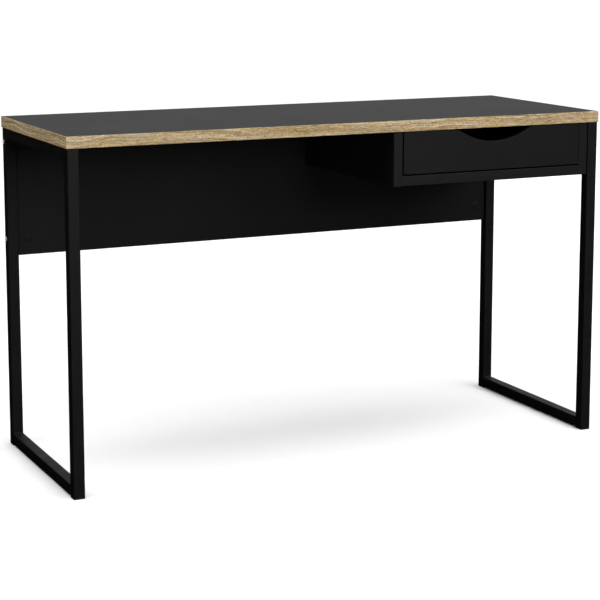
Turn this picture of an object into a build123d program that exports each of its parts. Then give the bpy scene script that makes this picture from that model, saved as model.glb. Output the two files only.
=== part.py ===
from build123d import *
import os
from math import sqrt

# Writing desk: a banded board top on two square-tube side frames, a modesty panel between the
# rear legs, and one drawer hung under the top at the right, on steel runners with nylon rollers.
# Millimetres. The origin is on the floor under the middle of the top, +X to the right,
# +Y to the back and +Z up, so the sitter is on the -Y side.

LEFT, RIGHT = Vector(-1, 0, 0), Vector(1, 0, 0)
FORWARD, BACK = Vector(0, -1, 0), Vector(0, 1, 0)
DOWN, UP = Vector(0, 0, -1), Vector(0, 0, 1)

# Whole desk
DESK_WIDTH = 1300
DESK_DEPTH = 480
DESK_HEIGHT = 768
TOP_THICKNESS = 25
UNDERSIDE = DESK_HEIGHT - TOP_THICKNESS
BAND = 2
BAND_ARRIS = 0.8

# Black boards: plastic edging glued on the cut edges that show
EDGING = 1
EDGING_ARRIS = 0.6
EDGING_GAP = 0.1
BOARD_ARRIS = 0.5

# Side frames, set back a little from the edges of the top
TUBE = 25
TUBE_WALL = 1.2
TUBE_CORNER = 1.8
FOOT_HEIGHT = 3
SPIGOT = 21.8
SPIGOT_HEIGHT = 16
SPIGOT_WALL = 1.6
FRAME_X = DESK_WIDTH / 2 - 2 - TUBE / 2
FRAME_OUTER_X = FRAME_X + TUBE / 2
FRAME_INNER_X = FRAME_X - TUBE / 2
LEG_Y = DESK_DEPTH / 2 - 1 - TUBE / 2
LEG_INNER_Y = LEG_Y - TUBE / 2

# Modesty panel, between the rear legs
PANEL = 16
PANEL_BACK_Y = LEG_Y + TUBE / 2 - 0.5
PANEL_FRONT_Y = PANEL_BACK_Y - PANEL
PANEL_MID_Y = PANEL_BACK_Y - PANEL / 2
PANEL_BOTTOM = 447
PANEL_BOLT_Z = (486, 710)
BARREL_NUT_X = 596.6

# Drawer cabinet, just clear of the right side frame
BOARD = 22
CABINET_LEFT = 109
CABINET_BOTTOM = 620
CABINET_GAP = 1
CABINET_FRONT_Y = 3 - LEG_Y - TUBE / 2
BAY_LEFT = CABINET_LEFT + BOARD
CABINET_RIGHT = FRAME_INNER_X - CABINET_GAP
BAY_RIGHT = CABINET_RIGHT - BOARD
BAY_FLOOR = CABINET_BOTTOM + BOARD
BAY_MIDDLE = (BAY_LEFT + BAY_RIGHT) / 2

# Drawer: an inset front on a box of thin boards, with a hardboard bottom in a groove
TRACK_Z = 648
RUNNER_SPACE = 12.5
DRAWER_BOARD = 12
DRAWER_LENGTH = 380
DRAWER_BASE = TRACK_Z + 1
DRAWER_TOP = DRAWER_BASE + 72
BOX_FRONT_Y = CABINET_FRONT_Y + PANEL
BOX_REAR_Y = BOX_FRONT_Y + DRAWER_LENGTH
BOX_LEFT = BAY_LEFT + RUNNER_SPACE
BOX_RIGHT = BAY_RIGHT - RUNNER_SPACE
HARDBOARD = 3
GROOVE_Z = DRAWER_BASE + 9
GROOVE_DEPTH = 6
GROOVE_PLAY = 0.1
GROOVE_HEIGHT = HARDBOARD + 2 * GROOVE_PLAY
HARDBOARD_Z = GROOVE_Z + GROOVE_PLAY
FRONT_LEFT = BAY_LEFT + 3.5
FRONT_RIGHT = BAY_RIGHT - 1
FRONT_BOTTOM = BAY_FLOOR + 3.5
FRONT_TOP = UNDERSIDE - 2
SCOOP_X = BAY_MIDDLE + 5.5
SCOOP_DEPTH = 30.6
SCOOP_RADIUS = 165
SCOOP_SHOULDER = 40

# Roller runners. Heights in a runner's section are measured up from the rear roller's track.
SHEET = 1.2
BEND = 1
CHANNEL_WIDTH = 10.4
CHANNEL_HEIGHT = 20
LOWER_LIP = 1.8
UPPER_LIP = 1.5
FLANGE_HEIGHT = 16.8
FLANGE_LIP = 2
FLANGE_GAP = 2
RUNNER_FRONT_Y = BOX_FRONT_Y + 1
RUNNER_REAR_Y = BOX_REAR_Y + 2
ROLLER_RADIUS = 9
ROLLER_WIDTH = 5.4
ROLLER_RECESS = 1.3
ROLLING_GAP = 0.3
AXLE_RADIUS = 2.5
AXLE_SHOULDER = 3.5
AXLE_HEAD = (4, 1)
END_PLAY = 0.2
FIXED_STANDOFF = 2.8
MOVING_STANDOFF = 2.2
FRONT_ROLLER_Y = RUNNER_FRONT_Y + 13
FRONT_ROLLER_HEIGHT = FLANGE_HEIGHT - ROLLING_GAP - ROLLER_RADIUS
REAR_ROLLER_Y = RUNNER_REAR_Y - SHEET - 0.4 - ROLLER_RADIUS
REAR_ROLLER_HEIGHT = ROLLING_GAP + ROLLER_RADIUS
TRAVEL = 280
STOP_HEIGHT = 4

# Fasteners. Pairs are (radius, length). A pilot hole is a little deeper than its screw is long.
FIT = 0.05
CLEARANCE = 0.3
PILOT_SPARE = 0.5
M6 = 3
M6_CLEARANCE = 3.3
M6_HEAD = (5.2, 1.9)
M6_SOCKET = 2.3
INSERT = (5, 12.5)
BARREL_NUT = (5, 12)
BARREL_NUT_SUNK = 0.9
COVER_CAP = (9, 1.3)
COVER_CAP_PLUG = (4.95, 0.8)
SCREW = 1.75
SCREW_HEAD = (3.2, 1.6)
SIDE_SCREW_BITE = 12.5
BASE_SCREW_BITE = 7.5
BACK_SCREW_LENGTH = 35
DOWEL = (4, 30)
DOWEL_IN_FACE = 12
DOWEL_CHAMFER = 1
SMALL_DOWEL = (3, 24)
SMALL_DOWEL_IN_FACE = 11
CAM = (7.5, 15)
SMALL_CAM = (6, 10.5)
CAM_CROSS = (1.6, 2)
CAM_REACH = 24
CAM_BOLT_BORE = 3.5
CAM_BOLT_HEAD = (3, 3)
CAM_BOLT_NECK = (1.8, 5)
CAM_BOLT_THREAD = (2.8, 11)

# Where rows of fasteners sit along the boards
TOP_SCREW_Y = (-180, 0, 180)
PANEL_DOWEL_X = (-400, -100, 400)
CABINET_CAM_Y = (-180, 150)
CABINET_DOWEL_Y = (-120, 90)
CAM_Z = 690
FIXED_RUNNER_SCREW_Y = (-180, -20, 120)
FIXED_RUNNER_SLOT_Y = (-100, 50)
FIXED_RUNNER_SCREW_HEIGHT = 10
MOVING_RUNNER_SCREW_Y = (-190, -30, 130)
DRAWER_DOWEL_Z = (672, 708)
DRAWER_BACK_SCREW_Z = (680, 706)
DRAWER_BOTTOM_SCREW_X = (-150, 0, 150)

os.makedirs("parts", exist_ok=True)


def save(piece, name):
    """Label a finished sub-part and write it out."""
    piece.part.label = name
    export_step(piece.part, f"parts/{name}.step")


def block(x, y, z, mode=Mode.ADD):
    """Add to the piece in hand a box that fills these (low, high) ranges."""
    with Locations(((x[0] + x[1]) / 2, (y[0] + y[1]) / 2, (z[0] + z[1]) / 2)):
        Box(x[1] - x[0], y[1] - y[0], z[1] - z[0], mode=mode)


def drill(planes, radius, depth):
    """Drill the piece in hand from each plane's origin, straight down that plane's -Z."""
    with Locations(*planes):
        Hole(radius, depth=depth)


def opposite(planes):
    """The same planes, each facing the other way."""
    return [-plane for plane in planes]


def both_sides(planes, middle=0):
    """These planes and their mirror images across x = middle."""
    images = [
        Plane(
            origin=(2 * middle - plane.origin.X, plane.origin.Y, plane.origin.Z),
            x_dir=(-plane.x_dir.X, plane.x_dir.Y, plane.x_dir.Z),
            z_dir=(-plane.z_dir.X, plane.z_dir.Y, plane.z_dir.Z),
        )
        for plane in planes
    ]
    return planes + images


def twin(piece, middle=0):
    """The mirror image of a piece across x = middle."""
    with BuildPart() as other:
        mirror(piece.part, about=Plane.YZ.offset(middle))
    return other


def turned(*steps):
    """A turned piece: (radius, length) steps one on the other, up from the origin."""
    with BuildPart() as piece:
        height = 0
        for radius, length in steps:
            with BuildSketch(Plane.XY.offset(height)):
                Circle(radius)
            extrude(amount=length)
            height += length
    return piece.part


def headed(shank_radius, shank_length, head, socket=0):
    """A screw or bolt: the head stands on the XY plane and the shank runs down from there."""
    head_radius, head_height = head
    with BuildPart() as piece:
        Cylinder(head_radius, head_height, align=(Align.CENTER, Align.CENTER, Align.MIN))
        if socket:
            chamfer(piece.edges().group_by(Axis.Z)[-1], head_height / 3)
            with BuildSketch(Plane.XY.offset(head_height)):
                RegularPolygon(socket, 6)
            extrude(amount=-0.7 * head_height, mode=Mode.SUBTRACT)
        Cylinder(shank_radius, shank_length, align=(Align.CENTER, Align.CENTER, Align.MAX))
    return piece.part


def edging_strip(x, y, z, outward, along):
    """A strip of edging that fills these ranges, with its outer face's long edges rounded."""
    with BuildPart() as strip:
        block(x, y, z)
        outer_face = strip.faces().sort_by(Axis((0, 0, 0), outward))[-1]
        fillet(outer_face.edges().filter_by(along), EDGING_ARRIS)
    return strip.part


def set_out(piece, planes):
    """Copies of one small piece, one standing on each plane, as a single group."""
    with BuildPart() as group:
        with Locations(*planes):
            add(piece)
    return group


# ---------------------------------------------------------------- where the fasteners sit
# A plane lies on the surface that its fastener enters, with Z pointing back out of the hole.
# A joint's plane lies where two boards meet, with Z into the board whose face is drilled and,
# where a cam pulls them together, X towards the face of the other board that the cam sinks into.
SIDE_MID_X = CABINET_LEFT + BOARD / 2
BOTTOM_MID_Z = CABINET_BOTTOM + BOARD / 2
DRAWER_SIDE_MID_X = BOX_LEFT + DRAWER_BOARD / 2

top_screws = both_sides(
    [Plane(origin=(FRAME_X, y, UNDERSIDE - TUBE), z_dir=DOWN) for y in TOP_SCREW_Y]
)
panel_bolts = both_sides(
    [Plane(origin=(FRAME_OUTER_X, PANEL_MID_Y, z), z_dir=RIGHT) for z in PANEL_BOLT_Z]
)
barrel_nuts = both_sides(
    [Plane(origin=(BARREL_NUT_X, PANEL_FRONT_Y, z), z_dir=FORWARD) for z in PANEL_BOLT_Z]
)
panel_dowels = [Plane(origin=(x, PANEL_MID_Y, UNDERSIDE), z_dir=UP) for x in PANEL_DOWEL_X]

cabinet_top_cams = both_sides(
    [Plane(origin=(SIDE_MID_X, y, UNDERSIDE), x_dir=RIGHT, z_dir=UP) for y in CABINET_CAM_Y],
    BAY_MIDDLE,
)
cabinet_rear_cams = both_sides(
    [Plane(origin=(SIDE_MID_X, PANEL_FRONT_Y, CAM_Z), x_dir=RIGHT, z_dir=BACK)], BAY_MIDDLE
)
cabinet_bottom_cams = both_sides(
    [Plane(origin=(BAY_LEFT, y, BOTTOM_MID_Z), x_dir=DOWN, z_dir=LEFT) for y in CABINET_CAM_Y],
    BAY_MIDDLE,
)
cabinet_top_dowels = both_sides(
    [Plane(origin=(SIDE_MID_X, y, UNDERSIDE), z_dir=UP) for y in CABINET_DOWEL_Y], BAY_MIDDLE
)
cabinet_bottom_dowels = both_sides(
    [Plane(origin=(BAY_LEFT, y, BOTTOM_MID_Z), z_dir=LEFT) for y in CABINET_DOWEL_Y], BAY_MIDDLE
)
fixed_runner_screws = both_sides(
    [
        Plane(origin=(BAY_LEFT + SHEET, y, TRACK_Z + FIXED_RUNNER_SCREW_HEIGHT), z_dir=RIGHT)
        for y in FIXED_RUNNER_SCREW_Y
    ],
    BAY_MIDDLE,
)
fixed_roller_axles = both_sides(
    [Plane(origin=(BAY_LEFT, FRONT_ROLLER_Y, TRACK_Z + FRONT_ROLLER_HEIGHT), z_dir=RIGHT)],
    BAY_MIDDLE,
)
moving_runner_screws = both_sides(
    [
        Plane(origin=(DRAWER_SIDE_MID_X, y, DRAWER_BASE - SHEET), z_dir=DOWN)
        for y in MOVING_RUNNER_SCREW_Y
    ],
    BAY_MIDDLE,
)
moving_roller_axles = both_sides(
    [Plane(origin=(BOX_LEFT, REAR_ROLLER_Y, TRACK_Z + REAR_ROLLER_HEIGHT), z_dir=LEFT)],
    BAY_MIDDLE,
)
drawer_cams = both_sides(
    [Plane(origin=(DRAWER_SIDE_MID_X, BOX_FRONT_Y, CAM_Z), x_dir=RIGHT, z_dir=FORWARD)], BAY_MIDDLE
)
drawer_dowels = both_sides(
    [Plane(origin=(DRAWER_SIDE_MID_X, BOX_FRONT_Y, z), z_dir=FORWARD) for z in DRAWER_DOWEL_Z],
    BAY_MIDDLE,
)
drawer_back_screws = both_sides(
    [
        Plane(origin=(BOX_LEFT, BOX_REAR_Y - DRAWER_BOARD / 2, z), z_dir=LEFT)
        for z in DRAWER_BACK_SCREW_Z
    ],
    BAY_MIDDLE,
)
drawer_bottom_screws = [
    Plane(origin=(BAY_MIDDLE + x, BOX_REAR_Y - DRAWER_BOARD / 2, HARDBOARD_Z), z_dir=DOWN)
    for x in DRAWER_BOTTOM_SCREW_X
]


def cam_faces(joints, thickness):
    """The planes on a board's face that the cams sink into, with X towards the joint."""
    return [
        Plane(
            origin=joint.origin - joint.z_dir * CAM_REACH + joint.x_dir * (thickness / 2),
            x_dir=joint.z_dir,
            z_dir=joint.x_dir,
        )
        for joint in joints
    ]


def bore_for_cams(joints, thickness, cam):
    """Bore the board in hand for its cams, and along its middle for the bolts that enter them."""
    drill(cam_faces(joints, thickness), *cam)
    drill(joints, CAM_BOLT_BORE, CAM_REACH)


def cam_locks(joints, thickness, cam):
    """Cams that fill their bores, each with a cross recess and a pocket for the bolt's head."""
    radius, depth = cam
    faces = cam_faces(joints, thickness)
    with BuildPart() as locks:
        with Locations(*faces):
            Cylinder(radius - FIT, depth - FIT, align=(Align.CENTER, Align.CENTER, Align.MAX))
        cross_width, cross_depth = CAM_CROSS
        with BuildSketch(*faces):
            Rectangle(radius, cross_width)
            Rectangle(cross_width, radius)
        extrude(amount=-cross_depth, mode=Mode.SUBTRACT)
        drill(joints, CAM_BOLT_HEAD[0] + 2 * FIT, CAM_REACH + CAM_BOLT_HEAD[1])
    return locks


def cam_bolts(joints):
    """Bolts whose thread is screwed into one board and whose head is held by the other's cam."""
    shank = CAM_REACH - CAM_BOLT_NECK[1] - CAM_BOLT_HEAD[1] / 2
    bolt = turned(CAM_BOLT_HEAD, CAM_BOLT_NECK, (M6, shank), CAM_BOLT_THREAD)
    return set_out(bolt, [joint.offset(-CAM_REACH - CAM_BOLT_HEAD[1] / 2) for joint in joints])


def bore_for_dowels(joints, dowel, in_face):
    """Bore the end of the board in hand for the longer part of each dowel."""
    radius, length = dowel
    drill(joints, radius + FIT, length - in_face + FIT)


def dowels(joints, dowel, in_face):
    """Wooden dowels, most of each in one board's end and the rest in the other board's face."""
    with BuildPart() as pin:
        Cylinder(*dowel, align=(Align.CENTER, Align.CENTER, Align.MIN))
        chamfer(pin.edges().filter_by(GeomType.CIRCLE), DOWEL_CHAMFER)
    return set_out(pin.part, [joint.offset(in_face - dowel[1]) for joint in joints])


# ---------------------------------------------------------------- table top
with BuildPart() as tabletop_board:
    block(
        (-DESK_WIDTH / 2 + BAND, DESK_WIDTH / 2 - BAND),
        (-DESK_DEPTH / 2 + BAND, DESK_DEPTH / 2 - BAND),
        (UNDERSIDE, DESK_HEIGHT),
    )
    drill(top_screws, INSERT[0] + FIT, TUBE + INSERT[1] + FIT)
    drill(opposite(cabinet_top_cams), CAM_BOLT_THREAD[0] + FIT, CAM_BOLT_THREAD[1] + FIT)
    drill(opposite(cabinet_top_dowels + panel_dowels), DOWEL[0] + FIT, DOWEL_IN_FACE + FIT)
save(tabletop_board, "tabletop_board")

# The long bands run the full width and cover the ends of the short ones.
for name, outward in (("front", FORWARD), ("rear", BACK)):
    edge = outward.Y * DESK_DEPTH / 2
    with BuildPart() as band:
        block(
            (-DESK_WIDTH / 2, DESK_WIDTH / 2),
            sorted((edge, edge - outward.Y * BAND)),
            (UNDERSIDE, DESK_HEIGHT),
        )
        outer_face = band.faces().sort_by(Axis((0, 0, 0), outward))[-1]
        fillet(outer_face.edges(), BAND_ARRIS)
    save(band, f"tabletop_edge_{name}")

for name, outward in (("left", LEFT), ("right", RIGHT)):
    edge = outward.X * DESK_WIDTH / 2
    with BuildPart() as band:
        block(
            sorted((edge, edge - outward.X * BAND)),
            (-DESK_DEPTH / 2 + BAND, DESK_DEPTH / 2 - BAND),
            (UNDERSIDE, DESK_HEIGHT),
        )
        outer_face = band.faces().sort_by(Axis((0, 0, 0), outward))[-1]
        fillet(outer_face.edges().filter_by(Axis.Y), BAND_ARRIS)
    save(band, f"tabletop_edge_{name}")


# ---------------------------------------------------------------- side frames
def square_tube(start, length):
    """Add a tube that starts on this plane and runs along its Z."""
    bore = TUBE - 2 * TUBE_WALL
    with BuildSketch(start) as section:
        RectangleRounded(TUBE, TUBE, TUBE_CORNER)
        RectangleRounded(bore, bore, TUBE_CORNER - TUBE_WALL, mode=Mode.SUBTRACT)
    extrude(section.sketch, amount=length)


leg_length = UNDERSIDE - FOOT_HEIGHT
rail_length = 2 * LEG_INNER_Y

with BuildPart() as left_front_leg:
    square_tube(Plane((-FRAME_X, -LEG_Y, FOOT_HEIGHT)), leg_length)

with BuildPart() as left_rear_leg:
    square_tube(Plane((-FRAME_X, LEG_Y, FOOT_HEIGHT)), leg_length)
    drill(panel_bolts, M6_CLEARANCE, TUBE)

with BuildPart() as left_top_rail:
    square_tube(Plane((-FRAME_X, LEG_INNER_Y, UNDERSIDE - TUBE / 2), z_dir=FORWARD), rail_length)
    drill(top_screws, M6_CLEARANCE, TUBE)

with BuildPart() as left_bottom_rail:
    square_tube(Plane((-FRAME_X, LEG_INNER_Y, FOOT_HEIGHT + TUBE / 2), z_dir=FORWARD), rail_length)

# A moulded foot: a square pad under the end of the leg, and a hollow spigot with gripping ribs.
with BuildPart() as foot:
    with BuildSketch():
        RectangleRounded(TUBE, TUBE, TUBE_CORNER)
    extrude(amount=FOOT_HEIGHT)
    chamfer(foot.edges().group_by(Axis.Z)[0], 0.8)
    with BuildSketch(Plane.XY.offset(FOOT_HEIGHT)):
        Rectangle(SPIGOT, SPIGOT)
    extrude(amount=SPIGOT_HEIGHT)
    for rib in range(3):
        with BuildSketch(Plane.XY.offset(FOOT_HEIGHT + 4 + 4 * rib)):
            RectangleRounded(SPIGOT + 0.7, SPIGOT + 0.7, TUBE_CORNER - TUBE_WALL)
        extrude(amount=1.2)
    with BuildSketch(Plane.XY.offset(FOOT_HEIGHT + SPIGOT_HEIGHT)):
        Rectangle(SPIGOT - 2 * SPIGOT_WALL, SPIGOT - 2 * SPIGOT_WALL)
    extrude(amount=-SPIGOT_HEIGHT, mode=Mode.SUBTRACT)

left_front_foot = set_out(foot.part, [Plane((-FRAME_X, -LEG_Y, 0))])
left_rear_foot = set_out(foot.part, [Plane((-FRAME_X, LEG_Y, 0))])

for piece, name in (
    (left_front_leg, "front_leg"),
    (left_rear_leg, "rear_leg"),
    (left_top_rail, "top_rail"),
    (left_bottom_rail, "bottom_rail"),
    (left_front_foot, "front_foot"),
    (left_rear_foot, "rear_foot"),
):
    save(piece, f"left_{name}")
    save(twin(piece), f"right_{name}")

# Bolts up through both walls of each top rail, into threaded inserts in the top
tabletop_screws = set_out(headed(M6, TUBE + INSERT[1] - 0.5, M6_HEAD, M6_SOCKET), top_screws)
save(tabletop_screws, "tabletop_screws")

with BuildPart() as tabletop_inserts:
    with Locations(*[screw.offset(-TUBE) for screw in top_screws]):
        Cylinder(*INSERT, align=(Align.CENTER, Align.CENTER, Align.MAX))
        Hole(M6 + FIT, depth=INSERT[1])
save(tabletop_inserts, "tabletop_inserts")

# ---------------------------------------------------------------- modesty panel
panel_bolt_length = FRAME_OUTER_X - BARREL_NUT_X + BARREL_NUT[0] + 1
panel_x = (-FRAME_INNER_X, FRAME_INNER_X)
panel_y = (PANEL_FRONT_Y, PANEL_BACK_Y)

with BuildPart() as modesty_panel:
    block(panel_x, panel_y, (PANEL_BOTTOM + EDGING, UNDERSIDE))
    drill(panel_bolts, M6_CLEARANCE, panel_bolt_length + 2)
    drill(barrel_nuts, BARREL_NUT[0] + FIT, BARREL_NUT[1] + 1)
    drill(opposite(cabinet_rear_cams), CAM_BOLT_THREAD[0] + FIT, CAM_BOLT_THREAD[1] + FIT)
    bore_for_dowels(panel_dowels, DOWEL, DOWEL_IN_FACE)
save(modesty_panel, "modesty_panel")

with BuildPart() as modesty_edging:
    add(edging_strip(panel_x, panel_y, (PANEL_BOTTOM, PANEL_BOTTOM + EDGING), DOWN, Axis.X))
save(modesty_edging, "modesty_edging")

# Bolts through the rear legs into barrel nuts in the panel. Cover caps close the nuts' holes,
# but for the upper right one, which the cabinet hides.
modesty_bolts = set_out(headed(M6, panel_bolt_length, M6_HEAD, M6_SOCKET), panel_bolts)
save(modesty_bolts, "modesty_bolts")

with BuildPart() as modesty_barrel_nuts:
    with Locations(*[nut.offset(-BARREL_NUT_SUNK) for nut in barrel_nuts]):
        Cylinder(*BARREL_NUT, align=(Align.CENTER, Align.CENTER, Align.MAX))
    drill(panel_bolts, M6 + FIT, panel_bolt_length + 2)
save(modesty_barrel_nuts, "modesty_barrel_nuts")

with BuildPart() as cover_cap:
    Cylinder(*COVER_CAP, align=(Align.CENTER, Align.CENTER, Align.MIN))
    chamfer(cover_cap.edges().group_by(Axis.Z)[-1], 0.6)
    Cylinder(*COVER_CAP_PLUG, align=(Align.CENTER, Align.CENTER, Align.MAX))
visible_nuts = [nut for nut in barrel_nuts if nut.origin.X < 0 or nut.origin.Z < CABINET_BOTTOM]
modesty_cover_caps = set_out(cover_cap.part, visible_nuts)
save(modesty_cover_caps, "modesty_cover_caps")
save(dowels(panel_dowels, DOWEL, DOWEL_IN_FACE), "modesty_dowels")

# ---------------------------------------------------------------- drawer cabinet
edge_y = CABINET_FRONT_Y + EDGING
cabinet_y = (edge_y, PANEL_FRONT_Y)
cabinet_side_x = ((CABINET_LEFT, BAY_LEFT), (BAY_RIGHT, CABINET_RIGHT))

for name, x in zip(("left", "right"), cabinet_side_x):
    with BuildPart() as cabinet_side:
        block(x, cabinet_y, (CABINET_BOTTOM + EDGING, UNDERSIDE))
        bore_for_cams(cabinet_top_cams + cabinet_rear_cams, BOARD, CAM)
        bore_for_dowels(cabinet_top_dowels, DOWEL, DOWEL_IN_FACE)
        drill(opposite(cabinet_bottom_cams), CAM_BOLT_THREAD[0] + FIT, CAM_BOLT_THREAD[1] + FIT)
        drill(opposite(cabinet_bottom_dowels), DOWEL[0] + FIT, DOWEL_IN_FACE + FIT)
        drill(fixed_runner_screws, SCREW + FIT, SHEET + SIDE_SCREW_BITE + PILOT_SPARE)
    save(cabinet_side, f"cabinet_{name}_side")

with BuildPart() as cabinet_bottom:
    block((BAY_LEFT, BAY_RIGHT), cabinet_y, (CABINET_BOTTOM, BAY_FLOOR))
    bore_for_cams(cabinet_bottom_cams, BOARD, CAM)
    bore_for_dowels(cabinet_bottom_dowels, DOWEL, DOWEL_IN_FACE)
save(cabinet_bottom, "cabinet_bottom")

# Edging on the front of all three boards and under the sides, each strip a hair short of the next
with BuildPart() as cabinet_edging:
    front = (CABINET_FRONT_Y, edge_y)
    for x in cabinet_side_x:
        add(edging_strip(x, front, (CABINET_BOTTOM, UNDERSIDE), FORWARD, Axis.Z))
        under = (CABINET_BOTTOM, CABINET_BOTTOM + EDGING)
        add(edging_strip(x, (edge_y + EDGING_GAP, PANEL_FRONT_Y), under, DOWN, Axis.Y))
    between_sides = (BAY_LEFT + EDGING_GAP, BAY_RIGHT - EDGING_GAP)
    add(edging_strip(between_sides, front, (CABINET_BOTTOM, BAY_FLOOR), FORWARD, Axis.X))
save(cabinet_edging, "cabinet_edging")

cabinet_cams = cabinet_top_cams + cabinet_rear_cams + cabinet_bottom_cams
save(cam_locks(cabinet_cams, BOARD, CAM), "cabinet_cam_locks")
save(cam_bolts(cabinet_cams), "cabinet_cam_bolts")
cabinet_dowel_joints = cabinet_top_dowels + cabinet_bottom_dowels
save(dowels(cabinet_dowel_joints, DOWEL, DOWEL_IN_FACE), "cabinet_dowels")


# ---------------------------------------------------------------- runners
def runner_section(y):
    """The plane across the left runner, X from the cabinet side to the drawer, Y above the track."""
    return Plane(origin=(BAY_LEFT, y, TRACK_Z), x_dir=RIGHT, z_dir=FORWARD)


def from_side(near, far):
    """The x range between two distances from the cabinet's left side."""
    return (BAY_LEFT + near, BAY_LEFT + far)


def above_track(low, high):
    """The z range between two heights above the track."""
    return (TRACK_Z + low, TRACK_Z + high)


# Where a roller at the end of its travel meets the stop that stands up from the track
roller_to_stop = sqrt(ROLLER_RADIUS**2 - (ROLLER_RADIUS - STOP_HEIGHT + ROLLING_GAP) ** 2)
stop_y = REAR_ROLLER_Y - TRAVEL - roller_to_stop - ROLLING_GAP

# The fixed runner is a channel of bent sheet. Its lower flange is the track. At the front that
# flange stops short of the roller, and the upper one leaves a gap to drop the drawer in through.
with BuildPart() as left_cabinet_runner:
    lip = CHANNEL_WIDTH - SHEET / 2
    with BuildSketch(runner_section(RUNNER_REAR_Y)):
        with BuildLine():
            FilletPolyline(
                (lip, LOWER_LIP),
                (lip, -SHEET / 2),
                (SHEET / 2, -SHEET / 2),
                (SHEET / 2, CHANNEL_HEIGHT + SHEET / 2),
                (lip, CHANNEL_HEIGHT + SHEET / 2),
                (lip, CHANNEL_HEIGHT - UPPER_LIP),
                radius=BEND,
            )
        trace(line_width=SHEET)
    extrude(amount=RUNNER_REAR_Y - RUNNER_FRONT_Y)
    roller_end_y = FRONT_ROLLER_Y + ROLLER_RADIUS + 2
    drop_in_y = roller_end_y + 2 * ROLLER_RADIUS + 8
    past_lip = CHANNEL_WIDTH + 1
    block(
        from_side(SHEET, past_lip),
        (RUNNER_FRONT_Y - 1, roller_end_y),
        above_track(-SHEET - 1, LOWER_LIP + 1),
        mode=Mode.SUBTRACT,
    )
    block(
        from_side(SHEET, past_lip),
        (RUNNER_FRONT_Y - 1, drop_in_y),
        above_track(CHANNEL_HEIGHT - UPPER_LIP - 1, CHANNEL_HEIGHT + SHEET + 1),
        mode=Mode.SUBTRACT,
    )
    # The stop is lanced out of the track and turned up, and the rear end is closed by a tab.
    tab_x = from_side(2.6, 8.4)
    block(tab_x, (stop_y - SHEET - STOP_HEIGHT, stop_y), above_track(-SHEET, 0), mode=Mode.SUBTRACT)
    block(tab_x, (stop_y - SHEET, stop_y), above_track(-SHEET, STOP_HEIGHT))
    block(tab_x, (RUNNER_REAR_Y - SHEET, RUNNER_REAR_Y), above_track(-SHEET / 2, 2 * REAR_ROLLER_HEIGHT / 3))
    drill(fixed_runner_screws, SCREW + CLEARANCE, SHEET)
    drill([axle.offset(SHEET) for axle in fixed_roller_axles], AXLE_RADIUS + FIT, SHEET)
    with BuildSketch(*[
        Plane(
            origin=(BAY_LEFT + SHEET, y, TRACK_Z + FIXED_RUNNER_SCREW_HEIGHT),
            x_dir=BACK,
            z_dir=RIGHT,
        )
        for y in FIXED_RUNNER_SLOT_Y
    ]):
        SlotOverall(9, 4)
    extrude(amount=-SHEET, mode=Mode.SUBTRACT)
save(left_cabinet_runner, "left_cabinet_runner")
save(twin(left_cabinet_runner, BAY_MIDDLE), "right_cabinet_runner")

# The moving runner is a bent angle under the drawer's side. Its flange reaches out over the fixed
# roller, and stops short of its own roller at the rear.
with BuildPart() as left_drawer_runner:
    base = DRAWER_BASE - TRACK_Z - SHEET / 2
    web = RUNNER_SPACE - SHEET / 2
    flange = FLANGE_HEIGHT + SHEET / 2
    edge = FLANGE_GAP + SHEET / 2
    with BuildSketch(runner_section(BOX_REAR_Y)):
        with BuildLine():
            FilletPolyline(
                (RUNNER_SPACE + DRAWER_BOARD, base),
                (web, base),
                (web, flange),
                (edge, flange),
                (edge, FLANGE_HEIGHT - FLANGE_LIP),
                radius=BEND,
            )
        trace(line_width=SHEET)
    extrude(amount=BOX_REAR_Y - RUNNER_FRONT_Y)
    block(
        from_side(0, RUNNER_SPACE - SHEET),
        (REAR_ROLLER_Y - ROLLER_RADIUS - 1, BOX_REAR_Y + 1),
        above_track(FLANGE_HEIGHT - FLANGE_LIP - 1, CHANNEL_HEIGHT),
        mode=Mode.SUBTRACT,
    )
    drill(moving_runner_screws, SCREW + CLEARANCE, SHEET)
    drill([axle.offset(SHEET) for axle in moving_roller_axles], AXLE_RADIUS + FIT, SHEET)
save(left_drawer_runner, "left_drawer_runner")
save(twin(left_drawer_runner, BAY_MIDDLE), "right_drawer_runner")


# A roller turns on a shouldered axle riveted to its runner, whose head sits in the roller's recess.
def roller_axle(standoff):
    """An axle: its tail through the runner's sheet, then the shoulder, the journal and the head."""
    journal = ROLLER_WIDTH - ROLLER_RECESS + 2 * END_PLAY
    return turned((AXLE_RADIUS, SHEET), (AXLE_SHOULDER, standoff), (AXLE_RADIUS, journal), AXLE_HEAD)


with BuildPart() as roller:
    Cylinder(ROLLER_RADIUS, ROLLER_WIDTH, align=(Align.CENTER, Align.CENTER, Align.MIN))
    chamfer(roller.edges(), 0.5)
    with BuildSketch(Plane.XY.offset(ROLLER_WIDTH)):
        Circle(ROLLER_RADIUS - 1.6)
        Circle(AXLE_HEAD[0] + 1.2, mode=Mode.SUBTRACT)
    extrude(amount=-1, mode=Mode.SUBTRACT)
    with Locations((0, 0, ROLLER_WIDTH)):
        CounterBoreHole(AXLE_RADIUS + FIT, AXLE_HEAD[0] + CLEARANCE, ROLLER_RECESS)

for body, axles, standoff in (
    ("cabinet", fixed_roller_axles, FIXED_STANDOFF),
    ("drawer", moving_roller_axles, MOVING_STANDOFF),
):
    save(set_out(roller_axle(standoff), axles), f"{body}_roller_axles")
    for side, axle in zip(("left", "right"), axles):
        seat = axle.offset(SHEET + standoff + END_PLAY)
        save(set_out(roller.part, [seat]), f"{side}_{body}_roller")

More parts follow.
